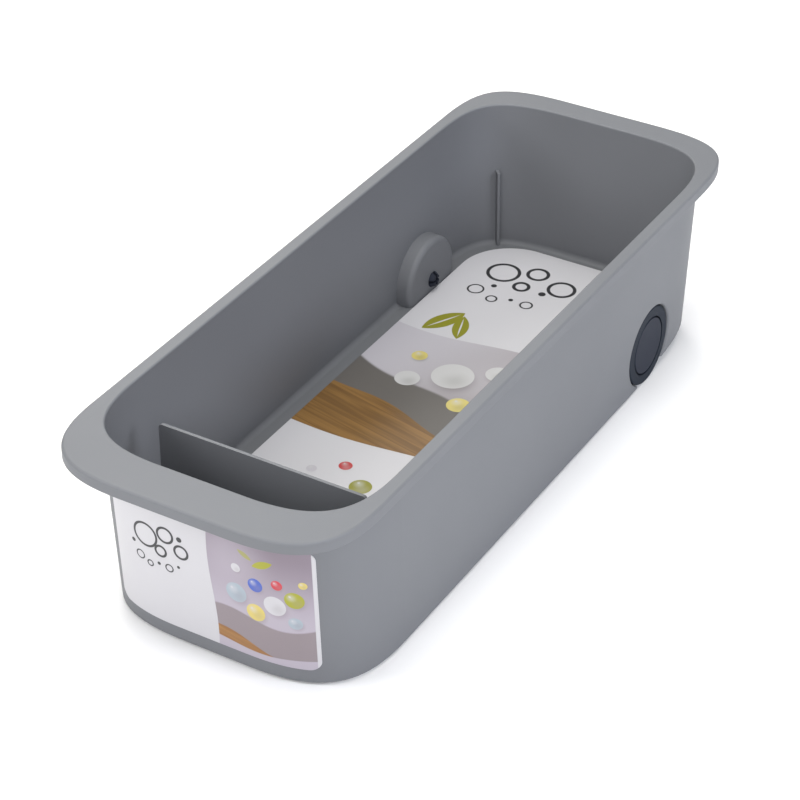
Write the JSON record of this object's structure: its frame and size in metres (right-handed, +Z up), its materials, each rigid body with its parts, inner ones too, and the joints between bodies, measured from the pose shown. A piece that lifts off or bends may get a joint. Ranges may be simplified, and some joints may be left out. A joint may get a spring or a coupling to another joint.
{
  "type": "under sink organizer",
  "caption": "Long grey storage caddy with a wide front grip rim, a lift-out divider, recessed rear wheels and a printed label and floor card.",
  "frame": {"origin": "on the floor, under the middle of the rim", "axes": "+X towards the right wheel, +Y from the wide front grip to the rear wheels, +Z up"},
  "size_m": [0.149, 0.404, 0.097],
  "materials": {
    "tub_plastic": "fine satin moulded texture",
    "divider_plastic": "fine satin moulded texture",
    "wheel_plastic": "satin",
    "axle_plastic": "satin",
    "foot_rubber": "matt",
    "label_print": "printed film, low gloss",
    "card_print": "printed board, low gloss"
  },
  "bodies": {
    "tub": {"tub": "tub_plastic", "right_axle": "axle_plastic", "left_axle": "axle_plastic", "right_foot": "foot_rubber", "left_foot": "foot_rubber", "front_label": "label_print", "floor_card": "card_print"},
    "divider": {"divider": "divider_plastic"},
    "right_wheel": {"right_wheel": "wheel_plastic"},
    "left_wheel": {"left_wheel": "wheel_plastic"}
  },
  "joints": [
    {"name": "divider_lift", "type": "slide", "parent": "tub", "child": "divider", "axis": [0, 0, 1], "range_m": [0, 0.09]},
    {"name": "right_wheel_spin", "type": "hinge", "parent": "tub", "child": "right_wheel", "pos_m": [0.065, 0.116, 0.0213], "axis": [1, 0, 0], "continuous": true},
    {"name": "left_wheel_spin", "type": "hinge", "parent": "tub", "child": "left_wheel", "pos_m": [-0.065, 0.116, 0.0213], "axis": [1, 0, 0], "continuous": true}
  ]
}
